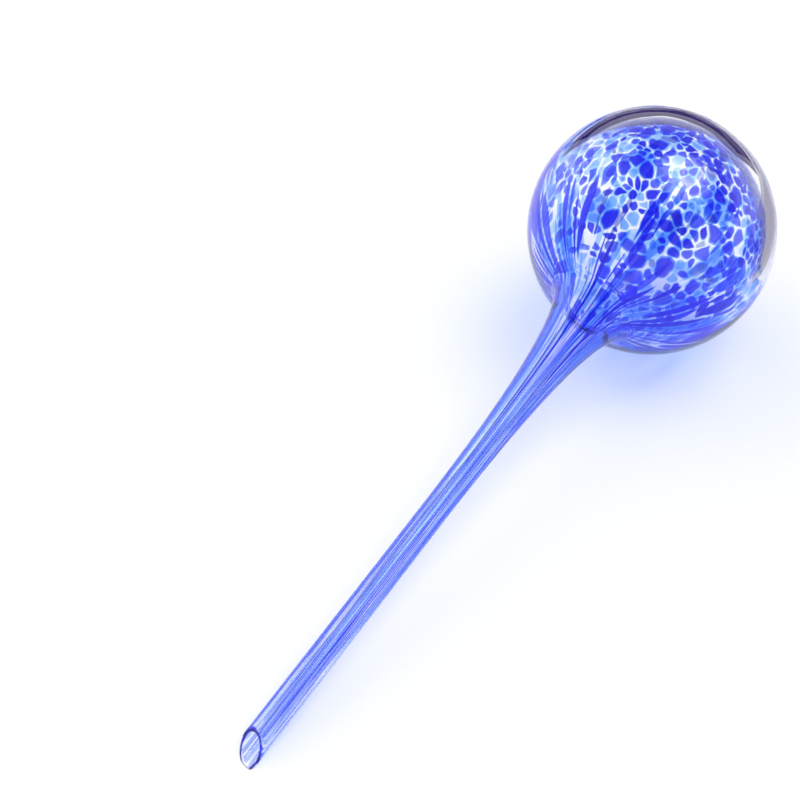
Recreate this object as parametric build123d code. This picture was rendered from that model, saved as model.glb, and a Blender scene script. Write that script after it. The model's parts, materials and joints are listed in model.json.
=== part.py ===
from build123d import *
import math
import os
import random

os.makedirs("parts", exist_ok=True)

# Sizes are in millimetres and degrees.
# X runs along the axis from the mouth of the stem to the crown of the globe, and the origin is the mouth's centre.
globe_diameter = 80.0
stem_reach = 219.0
stem_diameter = 8.2

# The wall is three layers of glass: a clear casing, the frit and a clear inside.
globe_casing_wall = 2.6
globe_frit_wall = 0.3
globe_bubble_wall = 0.5
stem_casing_wall = 0.3
stem_frit_wall = 0.2
stem_tube_wall = 0.4

# The neck flares from the straight stem to the globe in one curve.
flare_length = 90.0
flare_pull = 59.0
neck_angle = 23.0
neck_pull = 8.0

# The seam between globe and stem, and the slant that is ground at the mouth.
seal_offset = 5.0
seal_length = 1.2
mouth_slant = 47.0
mouth_turn = 72.0

# Frit: flat chips on the globe, drawn out to streaks in the neck and to stripes on the stem.
streak_angle = 36.0
chip_count = 200
vein_width = 0.7
clear_share = 0.07
chip_scatter = 0.3
streak_count = 36
stripe_count = 18
streak_shift = 0.0
stripe_shift = 3.9
frit_seed = 7

globe_radius = globe_diameter / 2
stem_radius = stem_diameter / 2
ball_radii = [globe_radius]
for wall in (globe_casing_wall, globe_frit_wall, globe_bubble_wall):
    ball_radii.append(ball_radii[-1] - wall)
tube_radii = [stem_radius]
for wall in (stem_casing_wall, stem_frit_wall, stem_tube_wall):
    tube_radii.append(tube_radii[-1] - wall)

mouth_start = -stem_radius * math.tan(math.radians(mouth_slant)) - 2
flare_start = stem_reach - globe_radius - flare_length
seal_start = stem_reach - globe_radius - seal_offset - seal_length / 2
seal_end = seal_start + seal_length
streak_end = stem_reach - globe_radius * math.cos(math.radians(streak_angle))
crown = stem_reach + globe_radius


def outline(ball, tube):
    """Half section of all that lies inside one wall surface, from the axis outwards."""
    lean = math.radians(neck_angle)
    neck_x = stem_reach - ball * math.cos(lean)
    neck_y = ball * math.sin(lean)
    pull = (neck_x - neck_pull * math.sin(lean), neck_y - neck_pull * math.cos(lean))
    edges = [
        Line((mouth_start, 0), (mouth_start, tube)),
        Line((mouth_start, tube), (flare_start, tube)),
        Bezier((flare_start, tube), (flare_start + flare_pull, tube), pull, (neck_x, neck_y)),
        ThreePointArc((neck_x, neck_y), (stem_reach, ball), (stem_reach + ball, 0)),
        Line((stem_reach + ball, 0), (mouth_start, 0)),
    ]
    return make_face(edges)


def stretch(section, x_from, x_to):
    """The piece of a half section between two places on the axis."""
    tall = globe_diameter
    window = Pos((x_from + x_to) / 2, 0) * Rectangle(x_to - x_from, 2 * tall)
    return section & window


def turned(section, arc=360.0, turn=0.0):
    """A half section swept round the axis."""
    return Rot(turn, 0, 0) * revolve(section, Axis.X, arc)


def slanted(shape):
    """What is left of a stem piece after the mouth is ground off on a slant."""
    slant = math.radians(mouth_slant)
    turn = math.radians(mouth_turn)
    away = (math.cos(slant), -math.sin(slant) * math.cos(turn), -math.sin(slant) * math.sin(turn))
    return split(shape, bisect_by=Plane((0, 0, 0), z_dir=away), keep=Keep.TOP)


def wedges(section, count, shift):
    """Cobalt, azure and clear strips that fill a layer all the way round, in uneven widths."""
    widths = [1 + 0.55 * math.sin(2.4 * place + shift) for place in range(count)]
    degree = 360.0 / sum(widths)
    kinds = {"cobalt": [], "azure": [], "clear": []}
    order = ("cobalt", "azure", "cobalt", "clear", "azure", "clear")
    turn = 0.0
    for place in range(count):
        arc = widths[place] * degree
        kinds[order[place % len(order)]].append(turned(section, arc, turn))
        turn += arc
    return kinds


def seeds():
    """Centres of the chips as directions from the globe's centre: a spiral, a little scattered."""
    scatter = random.Random(frit_seed)
    step = math.pi * (3 - math.sqrt(5))
    spread = chip_scatter * math.sqrt(4 * math.pi / chip_count)
    found = []
    for place in range(chip_count):
        along = 1 - (2 * place + 1) / chip_count
        across = math.sqrt(1 - along * along)
        here = Vector(along, across * math.cos(step * place), across * math.sin(step * place))
        stray = Vector(scatter.uniform(-1, 1), scatter.uniform(-1, 1), scatter.uniform(-1, 1))
        found.append((here + stray * spread).normalized())
    return found


def cell(centre, others):
    """Corners, as directions, of the patch nearest to one chip's centre, less half a vein all round."""
    side = centre.cross(Vector(0.3, 0.5, 0.8)).normalized()
    over = centre.cross(side)
    half_vein = vein_width / 2 / globe_radius
    patch = [(-0.4, -0.4), (0.4, -0.4), (0.4, 0.4), (-0.4, 0.4)]
    for other in others:
        if other is centre or other.dot(centre) < 0.75:
            continue
        inward = (centre - other).normalized() * math.cos(half_vein)
        inward = inward - (centre + other).normalized() * math.sin(half_vein)
        kept = []
        for place in range(len(patch)):
            here = patch[place - 1]
            there = patch[place]
            rise_here = inward.dot(centre + side * here[0] + over * here[1])
            rise_there = inward.dot(centre + side * there[0] + over * there[1])
            if rise_here * rise_there < 0:
                part = rise_here / (rise_here - rise_there)
                kept.append((here[0] + part * (there[0] - here[0]), here[1] + part * (there[1] - here[1])))
            if rise_there >= 0:
                kept.append(there)
        patch = kept
    return [centre + side * a + over * b for a, b in patch]


def chip_cutter(corners):
    """A tapered block from inside the frit layer to outside it, with its point at the globe's centre."""
    middle = Vector(stem_reach, 0, 0)
    low = [middle + corner * (ball_radii[2] - 4) for corner in corners]
    high = [middle + corner * (ball_radii[1] + 2) for corner in corners]
    sides = [low, high]
    for place in range(len(corners)):
        sides.append([low[place - 1], low[place], high[place], high[place - 1]])
    return Solid(Shell([Face(Wire.make_polygon(side, close=True)) for side in sides]))


def save(name, shapes):
    """Write one node, a single solid or a group."""
    solids = [solid for shape in shapes for solid in shape.solids()]
    whole = solids[0] if len(solids) == 1 else Compound(children=solids)
    whole.label = name
    export_step(whole, "parts/" + name + ".step")


surfaces = [outline(ball, tube) for ball, tube in zip(ball_radii, tube_radii)]
casing = surfaces[0] - surfaces[1]
frit = surfaces[1] - surfaces[2]
inside = surfaces[2] - surfaces[3]

# Globe: bubble and casing, with the frit layer between them
save("globe_inner_bubble", [turned(stretch(inside, seal_end, crown))])
save("globe_outer_casing", [turned(stretch(casing, seal_end, crown))])
frit_shell = turned(stretch(frit, streak_end, crown))
luck = random.Random(frit_seed + 1)
centres = seeds()
chips = []
for centre in centres:
    in_neck = -centre.X > math.cos(math.radians(streak_angle + 2))
    left_clear = luck.random() < clear_share
    if not in_neck and not left_clear:
        chips.append(frit_shell & chip_cutter(cell(centre, centres)))
save("globe_frit_chips", chips)

# Neck: streaks in the frit layer, and the fused seam
streaks = wedges(stretch(frit, seal_end, streak_end), streak_count, streak_shift)
for kind in streaks:
    save("neck_" + kind + "_streaks", streaks[kind])
save("neck_seal_ring", [turned(stretch(surfaces[0] - surfaces[3], seal_start, seal_end))])

# Stem: tube and casing with stripes between them, all ground off at the mouth
save("stem_inner_tube", [slanted(turned(stretch(inside, mouth_start, seal_start)))])
save("stem_outer_casing", [slanted(turned(stretch(casing, mouth_start, seal_start)))])
stripes = wedges(stretch(frit, mouth_start, seal_start), stripe_count, stripe_shift)
for kind in stripes:
    save("stem_" + kind + "_stripes", [slanted(stripe) for stripe in stripes[kind]])
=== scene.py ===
import json
import math
import random

import bpy
import numpy as np
from mathutils import Matrix, Vector, noise


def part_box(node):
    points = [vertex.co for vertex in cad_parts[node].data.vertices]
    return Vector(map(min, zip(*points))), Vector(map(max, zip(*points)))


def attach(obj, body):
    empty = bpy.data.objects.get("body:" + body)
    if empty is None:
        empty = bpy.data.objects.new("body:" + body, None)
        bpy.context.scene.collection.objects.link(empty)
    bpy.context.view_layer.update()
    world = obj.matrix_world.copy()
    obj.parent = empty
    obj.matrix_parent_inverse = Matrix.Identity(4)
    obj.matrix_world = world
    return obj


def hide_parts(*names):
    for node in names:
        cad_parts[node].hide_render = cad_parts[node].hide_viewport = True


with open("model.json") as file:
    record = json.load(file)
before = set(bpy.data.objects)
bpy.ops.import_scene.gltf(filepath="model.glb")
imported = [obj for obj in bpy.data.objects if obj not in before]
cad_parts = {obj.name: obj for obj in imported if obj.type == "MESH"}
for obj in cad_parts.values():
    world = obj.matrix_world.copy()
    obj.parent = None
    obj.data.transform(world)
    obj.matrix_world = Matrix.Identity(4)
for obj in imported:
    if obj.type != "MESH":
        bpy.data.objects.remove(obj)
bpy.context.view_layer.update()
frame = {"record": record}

# Lengths are in metres and angles in degrees, unless a comment says otherwise.
# The row frame has its origin at the mouth and +X towards the crown.
MM = 0.001
mounts = {mount["name"]: mount["dims"] for mount in frame["record"]["mounts"]}

# Sizes that the frame gives
globe_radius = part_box("globe_outer_casing")[1].y
crown_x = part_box("globe_outer_casing")[1].x
globe_x = crown_x - globe_radius
stem_radius = mounts["stem_pin"]["r_mm"] * MM
bore_radius = mounts["stem_bore"]["r_mm"] * MM
bubble_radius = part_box("globe_inner_bubble")[1].y
seal_x = (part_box("neck_seal_ring")[0].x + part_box("neck_seal_ring")[1].x) / 2

# Sizes of the glass that repeat the solids
bubble_wall = 0.5 * MM
flare_length = 90 * MM
flare_pull = 59 * MM
neck_angle = 23.0
neck_pull = 8 * MM
mouth_slant = 47.0
mouth_turn = 72.0
flare_x = globe_x - globe_radius - flare_length
cavity_radius = bubble_radius - bubble_wall

# The wall of the globe thickens slowly from the neck to past the middle.
# Both angles are taken at the globe's centre, from the stem.
neck_wall = 2.6 * MM
thin_angle = 5.0
thick_angle = 115.0

# Blown glass is never quite even: depth of each ripple, then the scale and shift of its noise
ripple_depth = 0.16 * MM
wall_ripple = 0.35 * MM
bore_ripple = 0.05 * MM
outer_noise = (75, 3.1)
wall_noise = (60, 8.3)
bore_noise = (90, 5.7)
ripple_along = 0.45
ripple_round = 0.03
ripple_shifts = (0.37, 0.71)

# The outside is less uneven on the stem: its share there, and where it grows, as shares of the flare
stem_dent = 0.2
growth_start = 0.5
growth_reach = 0.55

# Rounding of the lip at the mouth
lip_round = 0.28 * MM

# Frit lies on the wall's inside beyond the bare angle, and in the wall within the buried angle of the stem
frit_gap = 0.22 * MM
frit_half = 0.12 * MM
frit_depth = 0.62
bare_angle = 98.0
buried_angle = 62.0
mouth_margin = 0.9 * MM

# Nearer the stem than the draw angle the glass was pulled out lengthways
draw_angle = 94.0
draw_reach = 13 * MM
draw_power = 2.4
draw_rest = 0.03

# Chips: half sizes and how they pack, then the shares that are clear or pale, also in the drawn stretch
chip_small = 1.5 * MM
chip_large = 3.9 * MM
chip_tries = 30000
size_power = 1.3
pack_share = 0.82
past_mouth = 5.0
neck_growth = -0.45
clear_share = 0.08
azure_share = 0.24
drawn_clear = 0.1
drawn_azure = 0.36
frit_seed = 11

# Outline of a chip: an uneven round that stops at a vein before each neighbour, with melted corners
chip_reach = 1.9
chip_corners = 14
corner_least = 0.72
neighbour_count = 21
vein_width = 0.62 * MM
vein_power = 1.4
vein_overlap = 0.03 * MM
drawn_vein = 1.15
mouth_radians = 1.0
corner_cut = 0.25
corner_rounds = 2
outline_points = 40
skew_way = (0.31, 0.52, 0.79)

# Rings of a chip from its edge inwards, as shares of its size
chip_steps = (1.0, 0.9, 0.72, 0.4)

# Waviness of the chips' outlines
warp_slow = 1.5 * MM
warp_fast = 0.55 * MM
slow_scale = 5.5
fast_scale = 15
fast_shift = Vector((3, 5, 7))

# A wash of large pale chips under the others
wash_small = 4 * MM
wash_large = 9 * MM
wash_tries = 4000
wash_lift = -0.32 * MM
wash_clear = 0.68

# Strength of the stain along the drawn stretch: a faint belt, and thin colour on the stem
faint_stain = 0.55
faint_rise = 12 * MM
faint_end = 13 * MM
faint_fall = 12 * MM
thin_stain = 0.9
thin_start = 55 * MM
thin_reach = 60 * MM

# Streaks: rows along them, flat ends and rims, and an uneven width
streak_least = 2 * MM
streak_step = 1.2 * MM
streak_rows = 10
row_inset = 0.35
streak_head = 3 * MM
streak_tail = 6 * MM
mouth_reach = 2 * MM
streak_rim = 0.3
streak_waver = 0.25
waver_along = 110
waver_index = 7.3
waver_depth = 9000
streak_across = (-1.0, -0.7, 0.0, 0.7, 1.0)

# The seam: where it shows dark, as angles round the neck with their spread, and its section in the wall
seam_places = ((24.0, 10.0), (-171.0, 20.0))
seam_half = 0.25 * MM
seam_growth = 0.3 * MM
seam_cover = 0.22 * MM
seam_inset = 0.1 * MM
seam_waver = 0.35 * MM
seam_noise = (120, 2.2)
seam_sides = 10

# Mesh density
turns = 200
stem_rings = 44
flare_rings = 90
globe_rings = 130
lip_rings = 6

# Scale, detail and stretch of the noise in each material
cord_grain = (90, 3, (0.25, 1, 1))
wave_grain = (55, 2, (0.3, 1, 1))
cloud_grain = (420, 2, (0.35, 1, 1))
seam_grain = (300, 2)
paper_grain = (600, 2)

# Clear glass, with painted shade on the crest of the lip. The crest of the lip is taken in millimetres from
# the plane of the mouth.
white = (1.0, 1.0, 1.0)
black = (0.0, 0.0, 0.0)
glass_ior = 1.5
cord_tint = (0.95, 0.965, 1.0)
plain_tint = (0.99, 0.99, 1.0)
# Dark colour of the lip's crest: painted shade, in place of the dark that the rim bends into view
crest_painted_shade = (0.24, 0.19, 0.42)
crest_full = 0.04
crest_none = 0.11
wave_strength = 0.25
wave_depth = 0.4 * MM
shadow_tint = (0.96, 0.97, 1.0)
trapped_depth = 4.5
trapped_tint = (0.86, 0.9, 1.0)

# Stained glass: tones of a chip, then the few grey ones, the clouds in the colour and the coloured shadow
cobalt_tones = {
    "edge": (0.62, 0.8, 1.0),
    "pale": (0.34, 0.41, 0.975),
    "deep": (0.08, 0.075, 0.9),
    "grey": (0.62, 0.62, 0.86),
    "thin": (0.56, 0.84, 1.0),
}
azure_tones = {
    "edge": (0.82, 0.93, 1.0),
    "pale": (0.71, 0.87, 1.0),
    "deep": (0.47, 0.69, 0.995),
    "grey": (0.72, 0.72, 0.86),
    "thin": (0.88, 0.96, 1.0),
}
grey_from = 0.92
grey_full = 0.96
cloud_tint = (0.74, 0.8, 0.995)
cloud_weight = 0.6
core_full = 0.45
cast_tint = (0.8, 0.89, 1.0)
cast_weight = 0.65

# Tones of the seam and of the paper
seam_dark = (0.3, 0.27, 0.48)
seam_light = (0.5, 0.47, 0.7)
seam_faint = (0.985, 0.985, 1.0)
paper_low = (0.955, 0.955, 0.955)
paper_high = (0.965, 0.965, 0.965)

# Camera and table, in millimetres, on a table at height 0 with the camera above the origin
camera_height = 482.5
camera_pitch = 44.0
camera_lens = 97.2
sensor_width = 36.0
globe_place = Vector((81.1, 537.1, 40.0))
mouth_place = Vector((-40.9, 358.1, 4.15))

# Nearest and farthest that the camera sees
clip_near = 0.01
clip_far = 20

# Stage, in millimetres on the table: floor, dark card that stands behind, and a grey sheet that lies beside
# as painted shadow, in place of the floor's shadow that the glass shows there
floor_span = (-3000, 3000)
card_left = (-10, 710)
card_right = (202, 653)
card_heights = (17, 82)
card_colour = (0.045, 0.028, 0.12)
shadow_sheet_across = (150, 420)
shadow_sheet_along = (530, 690)
shadow_sheet_height = 0.3
# The grey sheet's even colour is painted shadow, in place of the shaded floor beside the globe
shadow_sheet_colour = (0.4, 0.39, 0.46)

# Two soft lamps: the way to each over the table, the cosines at its edge and at its core, and its strength
lamps = (
    (Vector((0.395, 0.047, 0.92)), (0.90, 0.975), 3.6),
    (Vector((-0.75, 0.45, 0.5)), (0.72, 0.95), 1.2),
)

# Light from the sky, and the backdrop that glass shows in its place, by height above the table
sky_stops = [(0.0, (0.3, 0.3, 0.33)), (0.25, (0.46, 0.46, 0.48)), (0.8, (0.56, 0.56, 0.56))]
backdrop_stops = [(0.25, white), (0.5, (0.42, 0.42, 0.44))]

# Bounces of light in the glass, and layers of stain that it goes through
glass_bounces = 64
stain_layers = 256


def outer_line():
    """The outside in half section from the mouth to the crown: distances along the axis and radii."""
    lean = math.radians(neck_angle)
    neck = np.array([globe_x - globe_radius * math.cos(lean), globe_radius * math.sin(lean)])
    slope = np.array([math.sin(lean), math.cos(lean)])
    start = np.array([flare_x, stem_radius])
    corners = [start, start + np.array([flare_pull, 0.0]), neck - neck_pull * slope, neck]
    points = [np.array([flare_x * place / stem_rings, stem_radius]) for place in range(stem_rings)]
    for place in range(flare_rings):
        t = place / flare_rings
        weights = ((1 - t) ** 3, 3 * t * (1 - t) ** 2, 3 * t * t * (1 - t), t ** 3)
        points.append(sum(weight * corner for weight, corner in zip(weights, corners)))
    for place in range(globe_rings):
        angle = lean + (math.pi - lean) * place / globe_rings
        points.append(np.array([globe_x - globe_radius * math.cos(angle), globe_radius * math.sin(angle)]))
    return np.array(points)


def eased(share):
    """A smooth step from 0 to 1."""
    share = min(1.0, max(0.0, share))
    return share * share * (3 - 2 * share)


def wall_at(x, radius):
    """Thickness of the glass at a place on the outside."""
    if x < globe_x - globe_radius:
        growth = neck_wall - stem_radius + bore_radius
        return stem_radius - bore_radius + growth * eased((x - flare_x) / flare_length)
    angle = math.degrees(math.atan2(radius, globe_x - x))
    share = eased((angle - thin_angle) / (thick_angle - thin_angle))
    return neck_wall + (globe_radius - cavity_radius - neck_wall) * share


def inner_line(line, walls):
    """The inside in half section: each point of the outside, moved in by the wall."""
    slopes = np.gradient(line, axis=0)
    slopes /= np.hypot(*slopes.T)[:, None]
    return line + walls[:, None] * np.stack([slopes[:, 1], -slopes[:, 0]], axis=1)


outside = outer_line()
walls = np.array([wall_at(x, radius) for x, radius in outside])
inside = inner_line(outside, walls)


def mouth_at(radius, turn):
    """How far along the axis the slanted mouth lies at a place on the wall."""
    return radius * math.tan(math.radians(mouth_slant)) * math.cos(turn - math.radians(mouth_turn))


def on_globe(x):
    """0 on the stem and 1 on the globe, with a smooth change over the flare."""
    return eased((x - flare_x - growth_start * flare_length) / (growth_reach * flare_length))


def even_noise(place):
    """Noise about the middle between 0 and 1."""
    return 0.5 + 0.5 * noise.noise(place)


def ripple(x, turn, scale, shift):
    """Slow unevenness over the surface, about the middle between 0 and 1."""
    here = Vector((x * ripple_along, ripple_round * math.cos(turn), ripple_round * math.sin(turn))) * scale
    return even_noise(here + Vector((shift, ripple_shifts[0] * shift, ripple_shifts[1] * shift)))


def outer_dent(x, turn):
    """How far the outside lies inside the true round."""
    return ripple_depth * ripple(x, turn, *outer_noise) * (stem_dent + (1 - stem_dent) * on_globe(x))


def inner_swell(x, turn):
    """How much thicker the wall is than its nominal size, unevenly."""
    bulge = eased((x - globe_x + globe_radius) / globe_radius)
    return bulge * wall_ripple * ripple(x, turn, *wall_noise) + bore_ripple * ripple(x, turn, *bore_noise)


def wall_point(x, radius, turn, start):
    """A point on the body, with the stretch before the flare pulled to the slanted mouth."""
    if x < flare_x:
        share = x / flare_x
        x = start + share * (flare_x - start)
    return (x, radius * math.cos(turn), radius * math.sin(turn))


def ring(x, radius, dent, slack=0.0):
    """One ring of points round the axis."""
    points = []
    for place in range(turns):
        turn = 2 * math.pi * place / turns
        here = radius + dent(x, turn)
        points.append(wall_point(x, here, turn, mouth_at(here, turn) + slack))
    return points


def mesh_piece(name, points, faces, material):
    """A smooth mesh object of the part, riding on its one body."""
    mesh = bpy.data.meshes.new(name)
    mesh.from_pydata([tuple(point) for point in points], [], faces)
    mesh.update()
    mesh.shade_smooth()
    mesh.materials.append(material)
    piece = bpy.data.objects.new(name, mesh)
    bpy.context.scene.collection.objects.link(piece)
    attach(piece, "root")
    return piece


def tube_faces(ring_count):
    """Quads between rings that follow each other, then fans to a first and a last pole."""
    faces = []
    for row in range(ring_count - 1):
        for place in range(turns):
            after = (place + 1) % turns
            low = row * turns
            high = low + turns
            faces.append((low + place, low + after, high + after, high + place))
    first = ring_count * turns
    last = (ring_count - 1) * turns
    for place in range(turns):
        after = (place + 1) % turns
        faces.append((first, after, place))
        faces.append((first + 1, last + place, last + after))
    return faces


def glass_body(material):
    """Stem, flare and globe as one hollow body of clear glass with a fire-polished slanted mouth."""
    points = []
    rings = 0
    for x, radius in inside[::-1]:
        points += ring(x, radius, lambda at, turn: -inner_swell(at, turn), lip_round)
        rings += 1
    middle = (stem_radius + bore_radius) / 2
    half = (stem_radius - bore_radius) / 2
    for place in range(1, lip_rings):
        angle = math.pi * place / lip_rings
        radius = middle - half * math.cos(angle)
        slack = lip_round * (1 - math.sin(angle))
        points += ring(0.0, radius, lambda at, turn: 0.0, slack)
        rings += 1
    for x, radius in outside:
        points += ring(x, radius, lambda at, turn: -outer_dent(at, turn), lip_round)
        rings += 1
    points.append((globe_x + cavity_radius - wall_ripple / 2, 0, 0))
    points.append((crown_x - ripple_depth / 2, 0, 0))
    return mesh_piece("clear_glass_body", points, tube_faces(rings), material)


def drawn_path():
    """The wall's inside from the draw angle down to the mouth: lengths along it, then its points."""
    angle = np.degrees(np.arctan2(inside[:, 1], globe_x - inside[:, 0]))
    stop = int(np.argmax((inside[:, 0] > globe_x - globe_radius) & (angle >= draw_angle)))
    drawn = inside[:stop + 1][::-1]
    steps = np.hypot(*np.diff(drawn, axis=0).T)
    return np.concatenate([[0.0], np.cumsum(steps)]), drawn


def draw_rate(lengths):
    """How long a strip of the undrawn ball each place on the path came from, as a share of its length."""
    return draw_rest + (1 - draw_rest) / (1 + (lengths / draw_reach) ** draw_power)


path_lengths, path_points = drawn_path()
path_rates = draw_rate(path_lengths)
path_steps = np.diff(path_lengths) * (path_rates[1:] + path_rates[:-1]) / 2
path_angles = draw_angle - np.degrees(np.concatenate([[0.0], np.cumsum(path_steps)]) / globe_radius)
path_slopes = np.gradient(path_points, axis=0)
path_slopes /= np.hypot(*path_slopes.T)[:, None]
path_walls = walls[:len(path_points)][::-1]
mouth_angle = path_angles[-1]


def stem_angle(way):
    """The angle between a direction from the globe's centre and the stem."""
    return math.degrees(math.acos(max(-1.0, min(1.0, -way[0]))))


def warped(way):
    """A direction moved a little, so that what is straight on the ball turns wavy."""
    here = Vector(way)
    slow = noise.noise_vector(here * slow_scale) * (warp_slow / globe_radius)
    fast = noise.noise_vector(here * fast_scale + fast_shift) * (warp_fast / globe_radius)
    moved = here + slow + fast
    return np.array(moved.normalized())


def drawn_place(way):
    """Where a direction of the undrawn ball ends up: length from the draw angle to the mouth, and turn."""
    angle = stem_angle(way)
    turn = math.atan2(way[2], way[1])
    if angle >= draw_angle:
        return -math.radians(angle - draw_angle) * globe_radius, turn
    return float(np.interp(angle, path_angles[::-1], path_lengths[::-1])), turn


def at_length(length, values):
    """A value of the drawn stretch at a length along it."""
    return float(np.interp(length, path_lengths, values))


def frit_point(length, turn, lift):
    """A point of the frit, on the wall's inside or in the wall; lift is outwards."""
    if length <= 0:
        lean = math.radians(draw_angle) - length / globe_radius
        x = globe_x - cavity_radius * math.cos(lean)
        radius = cavity_radius * math.sin(lean)
        normal = (-math.cos(lean), math.sin(lean))
        wall = globe_radius - cavity_radius
    else:
        x = at_length(length, path_points[:, 0])
        radius = at_length(length, path_points[:, 1])
        normal = (at_length(length, path_slopes[:, 1]), -at_length(length, path_slopes[:, 0]))
        wall = at_length(length, path_walls)
    place = math.degrees(math.atan2(radius, globe_x - x))
    buried = eased((bare_angle - place) / (bare_angle - buried_angle))
    lift += buried * frit_depth * wall - (1 - buried) * (frit_gap + inner_swell(x, turn))
    x += normal[0] * lift
    radius += normal[1] * lift
    return wall_point(x, radius, turn, mouth_at(radius, turn) + mouth_margin)


def stain_at(length):
    """How strong the stain is at a length along the drawn stretch, where the frit is thinner."""
    faint = eased(length / faint_rise) * (1 - eased((length - faint_end) / faint_fall))
    thin = eased((length - thin_start) / thin_reach)
    return 1 - (1 - faint_stain) * faint - (1 - thin_stain) * thin


def scatter_seeds(luck, small, large, tries):
    """Centres and half sizes of the chips on the undrawn ball, packed at random and none too close."""
    ways = []
    sizes = []
    for attempt in range(tries):
        along = luck.uniform(-1, 1)
        turn = luck.uniform(0, 2 * math.pi)
        across = math.sqrt(1 - along * along)
        way = np.array([along, across * math.cos(turn), across * math.sin(turn)])
        size = small + (large - small) * luck.random() ** size_power
        from_stem = stem_angle(way)
        if from_stem < mouth_angle - past_mouth:
            continue
        drawn_share = max(0.0, min(1.0, (draw_angle - from_stem) / (draw_angle - mouth_angle)))
        size *= 1 + neck_growth * drawn_share
        if ways:
            apart = np.arccos(np.clip(np.array(ways) @ way, -1, 1)) * globe_radius
            if np.any(apart < pack_share * (np.array(sizes) + size)):
                continue
        ways.append(way)
        sizes.append(size)
    return np.array(ways), np.array(sizes)


def chip_outline(index, ways, sizes, luck):
    """Outline of one chip on the plane that touches the ball at its centre, and that plane's directions."""
    centre = ways[index]
    drawn = stem_angle(centre) < draw_angle
    side = np.cross(centre, skew_way)
    side /= np.linalg.norm(side)
    over = np.cross(centre, side)
    reach = chip_reach * sizes[index] / globe_radius
    patch = []
    for place in range(chip_corners):
        turn = 2 * math.pi * place / chip_corners
        far = reach * luck.uniform(corner_least, 1.0)
        patch.append((far * math.cos(turn), far * math.sin(turn)))
    near = np.argsort(-(ways @ centre))[1:neighbour_count + 1]
    for other in near:
        apart = math.acos(max(-1.0, min(1.0, float(ways[other] @ centre))))
        vein = (vein_width * luck.random() ** vein_power - vein_overlap) / globe_radius
        if drawn:
            vein *= drawn_vein
        stop = apart * sizes[index] / (sizes[index] + sizes[other]) - vein
        towards = np.array([ways[other] @ side, ways[other] @ over])
        towards /= np.linalg.norm(towards)
        patch = clip_patch(patch, towards, math.tan(stop))
    to_mouth = math.acos(-centre[0]) - math.radians(mouth_angle)
    if to_mouth < mouth_radians:
        towards = np.array([-side[0], -over[0]])
        patch = clip_patch(patch, towards / np.linalg.norm(towards), math.tan(to_mouth))
    return patch, side, over


def clip_patch(patch, towards, limit):
    """What is left of an outline on this side of a straight line."""
    kept = []
    for place in range(len(patch)):
        here = patch[place - 1]
        there = patch[place]
        over_here = here[0] * towards[0] + here[1] * towards[1] - limit
        over_there = there[0] * towards[0] + there[1] * towards[1] - limit
        if over_here * over_there < 0:
            part = over_here / (over_here - over_there)
            kept.append((here[0] + part * (there[0] - here[0]), here[1] + part * (there[1] - here[1])))
        if over_there <= 0:
            kept.append(there)
    return kept


def rounded(patch):
    """An outline with its corners cut again and again, as melted glass has."""
    rest = 1 - corner_cut
    for repeat in range(corner_rounds):
        cut = []
        for place in range(len(patch)):
            here = patch[place - 1]
            there = patch[place]
            cut.append((rest * here[0] + corner_cut * there[0], rest * here[1] + corner_cut * there[1]))
            cut.append((corner_cut * here[0] + rest * there[0], corner_cut * here[1] + rest * there[1]))
        patch = cut
    return patch


def evened(patch):
    """The same outline with its points evenly spaced."""
    points = np.array(patch + patch[:1])
    steps = np.hypot(*np.diff(points, axis=0).T)
    lengths = np.concatenate([[0.0], np.cumsum(steps)])
    places = np.linspace(0, lengths[-1], outline_points, endpoint=False)
    return list(zip(np.interp(places, lengths, points[:, 0]), np.interp(places, lengths, points[:, 1])))


def add_chip(store, ways, tone, depth):
    """One closed, lens-shaped chip: shared edge points, then an outer and an inner skin that meet there."""
    middle = np.mean(ways, axis=0)
    count = len(ways)
    start = len(store["points"])

    def point(way, lift, core):
        length, turn = drawn_place(warped(way))
        store["points"].append(frit_point(length, turn, lift + depth))
        store["marks"].append((core, tone[0], tone[1], stain_at(length)))

    for way in ways:
        point(way, 0.0, 0.0)
    for sign in (1, -1):
        for step in chip_steps[1:]:
            lift = sign * frit_half * (1 - step * step)
            core = (1 - step) / (1 - chip_steps[-1])
            for way in ways:
                point(middle + step * (way - middle), lift, core)
        point(middle, sign * frit_half, 1.0)
    rings = len(chip_steps) - 1
    for skin in range(2):
        base = start + count + skin * (rings * count + 1)
        rows = [start] + [base + row * count for row in range(rings)]
        pole = base + rings * count
        for row in range(rings):
            for place in range(count):
                after = (place + 1) % count
                quad = (rows[row] + place, rows[row] + after, rows[row + 1] + after, rows[row + 1] + place)
                store["faces"].append(quad if skin == 0 else quad[::-1])
        for place in range(count):
            after = (place + 1) % count
            fan = (rows[-1] + place, rows[-1] + after, pole)
            store["faces"].append(fan if skin == 0 else fan[::-1])


def sides_at(outline, length):
    """The two turns at which an outline crosses a length."""
    found = []
    for place in range(len(outline)):
        here = outline[place - 1]
        there = outline[place]
        if (here[0] <= length) != (there[0] <= length):
            part = (length - here[0]) / (there[0] - here[0])
            found.append(here[1] + part * (there[1] - here[1]))
    return min(found), max(found)


def drawn_outline(ways):
    """An outline after the drawing, as lengths and turns, with no jump from one turn to the next."""
    places = [drawn_place(warped(way)) for way in ways]
    first_turn = places[0][1]
    outline = []
    for length, turn in places:
        outline.append((length, first_turn + (turn - first_turn + math.pi) % (2 * math.pi) - math.pi))
    return outline


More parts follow.
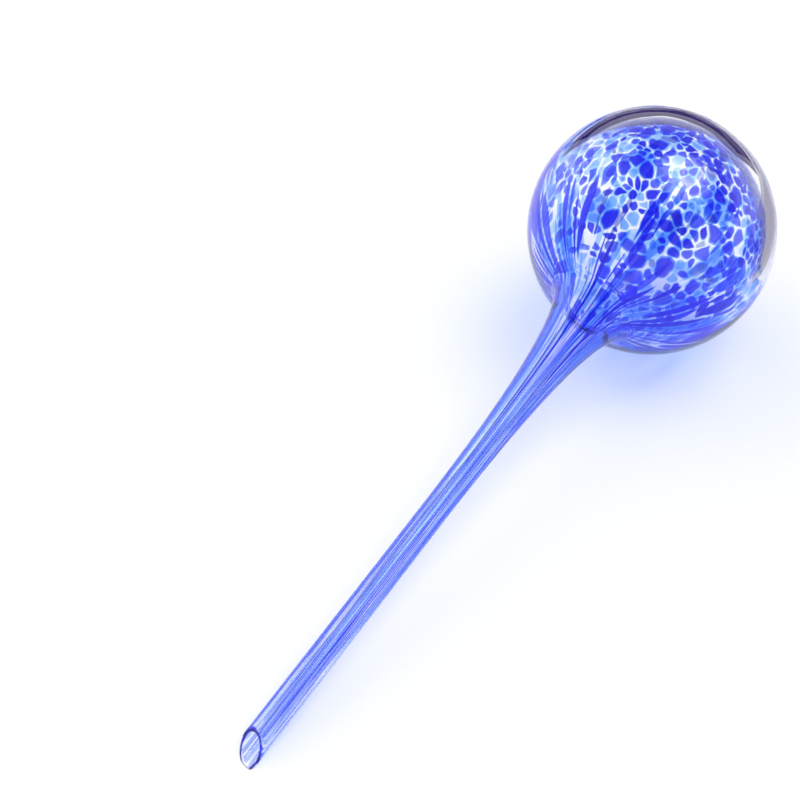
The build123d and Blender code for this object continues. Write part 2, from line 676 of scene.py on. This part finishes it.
def add_streak(store, ways, tone, depth, index):
    """One closed, drawn-out chip, built in rows along its length."""
    outline = drawn_outline(ways)
    low = min(length for length, turn in outline)
    high = max(length for length, turn in outline)
    if high - low < streak_least:
        return
    at_mouth = high > path_lengths[-1] - mouth_reach
    count = max(streak_rows, int((high - low) / streak_step))
    rows = []
    for row in range(count + 1):
        share = (1 - math.cos(math.pi * (row + row_inset) / (count + 2 * row_inset))) / 2
        length = low + share * (high - low)
        left, right = sides_at(outline, length)
        middle = (left + right) / 2
        half = (right - left) / 2
        here = Vector((length * waver_along, index * waver_index, depth * waver_depth))
        half *= 1 - streak_waver * even_noise(here)
        head = min(1.0, (length - low) / streak_head)
        tail = 1.0 if at_mouth else min(1.0, (high - length) / streak_tail)
        ends = row in (0, count)
        tops = []
        bottoms = []
        for across in streak_across:
            lift = frit_half * (1 - across * across) * min(head, tail)
            core = min(head, tail, (1 - abs(across)) / streak_rim)
            mark = (core, tone[0], tone[1], stain_at(length))
            turn = middle + half * across
            tops.append(len(store["points"]))
            store["marks"].append(mark)
            if ends or abs(across) == 1:
                store["points"].append(frit_point(length, turn, depth))
                bottoms.append(tops[-1])
            else:
                store["points"].append(frit_point(length, turn, depth + lift))
                bottoms.append(len(store["points"]))
                store["marks"].append(mark)
                store["points"].append(frit_point(length, turn, depth - lift))
        rows.append((tops, bottoms))
    for row in range(count):
        for place in range(len(streak_across) - 1):
            near = rows[row]
            far = rows[row + 1]
            store["faces"].append((near[0][place], far[0][place], far[0][place + 1], near[0][place + 1]))
            store["faces"].append((near[1][place], near[1][place + 1], far[1][place + 1], far[1][place]))


def frit_pieces(cobalt, azure):
    """All the chips over a thin wash of pale ones, in a deep blue piece and a pale blue piece."""
    luck = random.Random(frit_seed)
    noise.seed_set(frit_seed)
    stores = {kind: {"points": [], "faces": [], "marks": []} for kind in ("cobalt", "azure")}
    layers = (
        (chip_small, chip_large, chip_tries, 0.0, clear_share, azure_share),
        (wash_small, wash_large, wash_tries, wash_lift, wash_clear, 1 - wash_clear),
    )
    for small, large, tries, depth, clear_part, azure_part in layers:
        centres, sizes = scatter_seeds(luck, small, large, tries)
        for index in range(len(centres)):
            patch, side, over = chip_outline(index, centres, sizes, luck)
            draw = luck.random()
            tone = (luck.random(), luck.random())
            drawn = stem_angle(centres[index]) < draw_angle
            clear = max(clear_part, drawn_clear) if drawn else clear_part
            pale = max(azure_part, drawn_azure) if drawn else azure_part
            if draw < clear or len(patch) < 3:
                continue
            store = stores["azure" if draw < clear + pale else "cobalt"]
            outline = evened(patch if drawn else rounded(patch))
            ways = [centres[index] + side * a + over * b for a, b in outline]
            ways = [way / np.linalg.norm(way) for way in ways]
            if drawn:
                add_streak(store, ways, tone, depth, index)
            else:
                add_chip(store, ways, tone, depth)
    made = {}
    for kind, material in (("cobalt", cobalt), ("azure", azure)):
        store = stores[kind]
        piece = mesh_piece(kind + "_frit", store["points"], store["faces"], material)
        marks = piece.data.color_attributes.new("frit", "FLOAT_COLOR", "POINT")
        marks.data.foreach_set("color", np.array(store["marks"], np.float32).ravel())
        made[kind] = piece
    return made


def seam_mark(turn):
    """How dark the seam is at a place round the neck: it shows in two places, and is faint elsewhere."""
    mark = 0.0
    for place, spread in seam_places:
        away = (math.degrees(turn) - place + 180) % 360 - 180
        mark += math.exp(-away ** 2 / spread ** 2)
    return min(1.0, mark)


def seal_ring(material):
    """The fused seam where globe and stem meet: a thin ring inside the wall, wider where it is dark."""
    points = []
    faces = []
    marks = []
    for place in range(turns):
        turn = 2 * math.pi * place / turns
        x = seal_x + seam_waver * (ripple(seal_x, turn, *seam_noise) - 0.5)
        high = float(np.interp(x, outside[:, 0], outside[:, 1])) - seam_cover
        low = float(np.interp(x, inside[:, 0], inside[:, 1])) + seam_inset
        half_length = seam_half + seam_growth * seam_mark(turn)
        for step in range(seam_sides):
            angle = 2 * math.pi * step / seam_sides
            radius = (high + low) / 2 + (high - low) / 2 * math.sin(angle)
            spot = x + half_length * math.cos(angle)
            points.append((spot, radius * math.cos(turn), radius * math.sin(turn)))
            marks.append(seam_mark(turn))
            after = ((place + 1) % turns) * seam_sides
            here = place * seam_sides
            beside = (step + 1) % seam_sides
            faces.append((here + step, here + beside, after + beside, after + step))
    piece = mesh_piece("seal_ring", points, faces, material)
    shade = piece.data.attributes.new("seam", "FLOAT", "POINT")
    shade.data.foreach_set("value", marks)
    return piece


def new_material(name):
    """An empty material, its node tree and its output."""
    material = bpy.data.materials.new(name)
    material.use_nodes = True
    tree = material.node_tree
    tree.nodes.clear()
    return material, tree, tree.nodes.new("ShaderNodeOutputMaterial")


def feed(tree, socket, value):
    """Link a socket to another one, or set it to a plain colour or number."""
    if isinstance(value, bpy.types.NodeSocket):
        tree.links.new(value, socket)
    elif isinstance(value, tuple):
        socket.default_value = (*value, 1)
    else:
        socket.default_value = value


def ramp(tree, fac, stops):
    """A colour ramp fed by a value."""
    node = tree.nodes.new("ShaderNodeValToRGB")
    node.color_ramp.elements[0].position = stops[0][0]
    node.color_ramp.elements[0].color = (*stops[0][1], 1)
    node.color_ramp.elements[1].position = stops[1][0]
    node.color_ramp.elements[1].color = (*stops[1][1], 1)
    for place, colour in stops[2:]:
        node.color_ramp.elements.new(place).color = (*colour, 1)
    tree.links.new(fac, node.inputs["Fac"])
    return node.outputs["Color"]


def noise_value(tree, scale, detail, stretch=(1, 1, 1)):
    """Noise over the object's own coordinates."""
    where = tree.nodes.new("ShaderNodeTexCoord")
    mapping = tree.nodes.new("ShaderNodeMapping")
    mapping.inputs["Scale"].default_value = stretch
    texture = tree.nodes.new("ShaderNodeTexNoise")
    texture.inputs["Scale"].default_value = scale
    texture.inputs["Detail"].default_value = detail
    tree.links.new(where.outputs["Object"], mapping.inputs["Vector"])
    tree.links.new(mapping.outputs["Vector"], texture.inputs["Vector"])
    return texture.outputs["Fac"]


def blend_colours(tree, fac, first, second, mode="MIX"):
    """One colour laid over another. Each is a socket or a plain colour, and fac a socket or a number."""
    node = tree.nodes.new("ShaderNodeMix")
    node.data_type = "RGBA"
    node.blend_type = mode
    for socket, value in ((node.inputs[0], fac), (node.inputs[6], first), (node.inputs[7], second)):
        feed(tree, socket, value)
    return node.outputs[2]


def larger(tree, first, second):
    """The larger of two values."""
    node = tree.nodes.new("ShaderNodeMath")
    node.operation = "MAXIMUM"
    tree.links.new(first, node.inputs[0])
    tree.links.new(second, node.inputs[1])
    return node.outputs[0]


def along_way(tree, place, way):
    """How far a place lies in one direction."""
    node = tree.nodes.new("ShaderNodeVectorMath")
    node.operation = "DOT_PRODUCT"
    node.inputs[1].default_value = way
    tree.links.new(place, node.inputs[0])
    return node.outputs["Value"]


def either_shader(tree, fac, first, second):
    """The first shader where a value is 0 and the second where it is 1."""
    node = tree.nodes.new("ShaderNodeMixShader")
    for socket, value in zip(node.inputs, (fac, first, second)):
        tree.links.new(value, socket)
    return node.outputs[0]


def straight_through(tree, colour):
    """Light that goes straight through and takes on a colour."""
    node = tree.nodes.new("ShaderNodeBsdfTransparent")
    feed(tree, node.inputs["Color"], colour)
    return node.outputs[0]


def clear_glass():
    """Clear blown glass: faint cords and tint in it, painted shade as a dark line on the lip's crest, bent
    light, and a plain tinted shadow on the table.
    """
    material, tree, output = new_material("clear blown glass")
    glass = tree.nodes.new("ShaderNodeBsdfPrincipled")
    glass.inputs["Transmission Weight"].default_value = 1.0
    glass.inputs["IOR"].default_value = glass_ior
    glass.inputs["Roughness"].default_value = 0.0
    tint = ramp(tree, noise_value(tree, *cord_grain), [(0.3, cord_tint), (0.7, plain_tint)])
    where = tree.nodes.new("ShaderNodeTexCoord")
    slope = math.tan(math.radians(mouth_slant))
    turn = math.radians(mouth_turn)
    from_mouth = (1 / MM, -slope * math.cos(turn) / MM, -slope * math.sin(turn) / MM)
    off_mouth = along_way(tree, where.outputs["Object"], from_mouth)
    # Darken the lip's crest with painted shade
    crest = ramp(tree, off_mouth, [(crest_full, white), (crest_none, black)])
    tint = blend_colours(tree, crest, tint, crest_painted_shade)
    tree.links.new(tint, glass.inputs["Base Color"])
    bump = tree.nodes.new("ShaderNodeBump")
    bump.inputs["Strength"].default_value = wave_strength
    bump.inputs["Distance"].default_value = wave_depth
    tree.links.new(noise_value(tree, *wave_grain), bump.inputs["Height"])
    tree.links.new(bump.outputs["Normal"], glass.inputs["Normal"])
    path = tree.nodes.new("ShaderNodeLightPath")
    on_table = larger(tree, path.outputs["Is Shadow Ray"], path.outputs["Is Diffuse Ray"])
    plain = either_shader(tree, on_table, glass.outputs[0], straight_through(tree, shadow_tint))
    trapped = tree.nodes.new("ShaderNodeMath")
    trapped.operation = "GREATER_THAN"
    trapped.inputs[1].default_value = trapped_depth
    tree.links.new(path.outputs["Ray Depth"], trapped.inputs[0])
    let_out = either_shader(tree, trapped.outputs[0], plain, straight_through(tree, trapped_tint))
    tree.links.new(let_out, output.inputs["Surface"])
    return material


def frit_glass(name, edge, pale, deep, grey, thin):
    """Stained glass: pale at a chip's rim, deeper inside, each chip in its own tone, thin where drawn."""
    material, tree, output = new_material(name)
    marks = tree.nodes.new("ShaderNodeAttribute")
    marks.attribute_name = "frit"
    split = tree.nodes.new("ShaderNodeSeparateColor")
    tree.links.new(marks.outputs["Color"], split.inputs["Color"])
    body = blend_colours(tree, split.outputs["Green"], deep, pale)
    odd = ramp(tree, split.outputs["Blue"], [(grey_from, black), (grey_full, white)])
    body = blend_colours(tree, odd, body, grey)
    cloud = ramp(tree, noise_value(tree, *cloud_grain), [(0.35, white), (0.75, cloud_tint)])
    body = blend_colours(tree, cloud_weight, body, cloud, "MULTIPLY")
    core = ramp(tree, split.outputs["Red"], [(0.0, black), (core_full, white)])
    colour = blend_colours(tree, core, edge, body)
    colour = blend_colours(tree, marks.outputs["Alpha"], thin, colour)
    path = tree.nodes.new("ShaderNodeLightPath")
    on_table = larger(tree, path.outputs["Is Shadow Ray"], path.outputs["Is Diffuse Ray"])
    cast = blend_colours(tree, cast_weight, colour, cast_tint)
    colour = blend_colours(tree, on_table, colour, cast)
    tree.links.new(straight_through(tree, colour), output.inputs["Surface"])
    return material


def seal_glass():
    """The fused seam, dark where it is marked and nearly clear elsewhere."""
    material, tree, output = new_material("fused seam")
    dark = ramp(tree, noise_value(tree, *seam_grain), [(0.35, seam_dark), (0.7, seam_light)])
    marks = tree.nodes.new("ShaderNodeAttribute")
    marks.attribute_name = "seam"
    colour = blend_colours(tree, marks.outputs["Fac"], seam_faint, dark)
    tree.links.new(straight_through(tree, colour), output.inputs["Surface"])
    return material


def from_table():
    """The matrix that takes millimetres on the table to the row frame."""
    along = (globe_place - mouth_place).normalized()
    across = Vector((-along.y, along.x, 0)).normalized()
    up = along.cross(across)
    turn = Matrix((along, across, up)).to_4x4()
    return Matrix.Scale(MM, 4) @ turn @ Matrix.Translation(-mouth_place)


table = from_table()


def table_way(way):
    """A direction over the table, in the row frame."""
    return (table.to_3x3() @ way).normalized()


def lying(across, along, height):
    """Corners of a level sheet."""
    left, right = across
    near, far = along
    return [(left, near, height), (right, near, height), (right, far, height), (left, far, height)]


def standing(left, right, heights):
    """Corners of an upright sheet between two places on the table."""
    low, high = heights
    return [(*left, low), (*right, low), (*right, high), (*left, high)]


def stage_sheet(name, corners, material):
    """A flat sheet of the stage, from corners on the table in millimetres."""
    mesh = bpy.data.meshes.new(name)
    mesh.from_pydata([table @ Vector(corner) for corner in corners], [], [(0, 1, 2, 3)])
    mesh.materials.append(material)
    sheet = bpy.data.objects.new(name, mesh)
    bpy.context.scene.collection.objects.link(sheet)
    return sheet


def floor_paper():
    """White paper."""
    material, tree, output = new_material("white paper")
    paper = tree.nodes.new("ShaderNodeBsdfDiffuse")
    grain = ramp(tree, noise_value(tree, *paper_grain), [(0.3, paper_low), (0.7, paper_high)])
    tree.links.new(grain, paper.inputs["Color"])
    tree.links.new(paper.outputs[0], output.inputs["Surface"])
    return material


def even_sheet(name, colour):
    """A sheet of one even colour, whatever light falls on it."""
    material, tree, output = new_material(name)
    sheet = tree.nodes.new("ShaderNodeEmission")
    feed(tree, sheet.inputs["Color"], colour)
    tree.links.new(sheet.outputs[0], output.inputs["Surface"])
    return material


def soft_world():
    """White behind the object, white low down and grey above in the glass, and soft light from above."""
    world = bpy.data.worlds.new("soft studio")
    bpy.context.scene.world = world
    world.use_nodes = True
    tree = world.node_tree
    tree.nodes.clear()
    where = tree.nodes.new("ShaderNodeTexCoord").outputs["Generated"]
    height = along_way(tree, where, table_way(Vector((0, 0, 1))))
    path = tree.nodes.new("ShaderNodeLightPath")
    in_view = path.outputs["Is Camera Ray"]
    for kind in ("Is Glossy Ray", "Is Transmission Ray"):
        in_view = larger(tree, in_view, path.outputs[kind])
    light = blend_colours(tree, in_view, ramp(tree, height, sky_stops), ramp(tree, height, backdrop_stops))
    for way, (edge, core), strength in lamps:
        lamp = ramp(tree, along_way(tree, where, table_way(way)), [(edge, black), (core, (strength,) * 3)])
        light = blend_colours(tree, 1.0, light, lamp, "ADD")
    seen = blend_colours(tree, path.outputs["Is Camera Ray"], light, white)
    background = tree.nodes.new("ShaderNodeBackground")
    tree.links.new(seen, background.inputs["Color"])
    output = tree.nodes.new("ShaderNodeOutputWorld")
    tree.links.new(background.outputs[0], output.inputs["Surface"])


def photo_camera():
    """The camera at the photograph's place and angle."""
    data = bpy.data.cameras.new("camera")
    data.lens = camera_lens
    data.sensor_width = sensor_width
    camera = bpy.data.objects.new("camera", data)
    bpy.context.scene.collection.objects.link(camera)
    tilt = Matrix.Rotation(math.radians(90 - camera_pitch), 4, "X")
    placed = table @ (Matrix.Translation((0, 0, camera_height)) @ tilt)
    turn = placed.to_quaternion().to_matrix().to_4x4()
    camera.matrix_world = Matrix.Translation(placed.translation) @ turn
    data.clip_start = clip_near
    data.clip_end = clip_far
    bpy.context.scene.camera = camera


body = glass_body(clear_glass())
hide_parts("globe_inner_bubble", "globe_outer_casing", "neck_clear_streaks", "stem_clear_stripes")
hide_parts("stem_inner_tube", "stem_outer_casing")

frit = frit_pieces(frit_glass("cobalt frit", **cobalt_tones), frit_glass("azure frit", **azure_tones))
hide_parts("globe_frit_chips", "neck_cobalt_streaks", "stem_cobalt_stripes")
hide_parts("neck_azure_streaks", "stem_azure_stripes")

ring_piece = seal_ring(seal_glass())
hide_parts("neck_seal_ring")

# The card and the grey sheet of painted shadow show in the glass alone
stage_sheet("floor", lying(floor_span, floor_span, 0), floor_paper())
card_corners = standing(card_left, card_right, card_heights)
card = stage_sheet("card", card_corners, even_sheet("dark card", card_colour))
# Grey sheet of painted shadow: it glows an even grey where the glass would show the floor in the globe's
# shadow
shadow_sheet_corners = lying(shadow_sheet_across, shadow_sheet_along, shadow_sheet_height)
painted_shadow_sheet = stage_sheet("painted_shadow_sheet", shadow_sheet_corners, even_sheet("painted floor shadow", shadow_sheet_colour))
for sheet in (card, painted_shadow_sheet):
    sheet.visible_camera = False
    sheet.visible_diffuse = False
    sheet.visible_shadow = False

soft_world()
photo_camera()

scene = bpy.context.scene
scene.view_settings.view_transform = "Standard"
scene.cycles.max_bounces = glass_bounces
scene.cycles.transmission_bounces = glass_bounces
scene.cycles.glossy_bounces = glass_bounces
scene.cycles.transparent_max_bounces = stain_layers
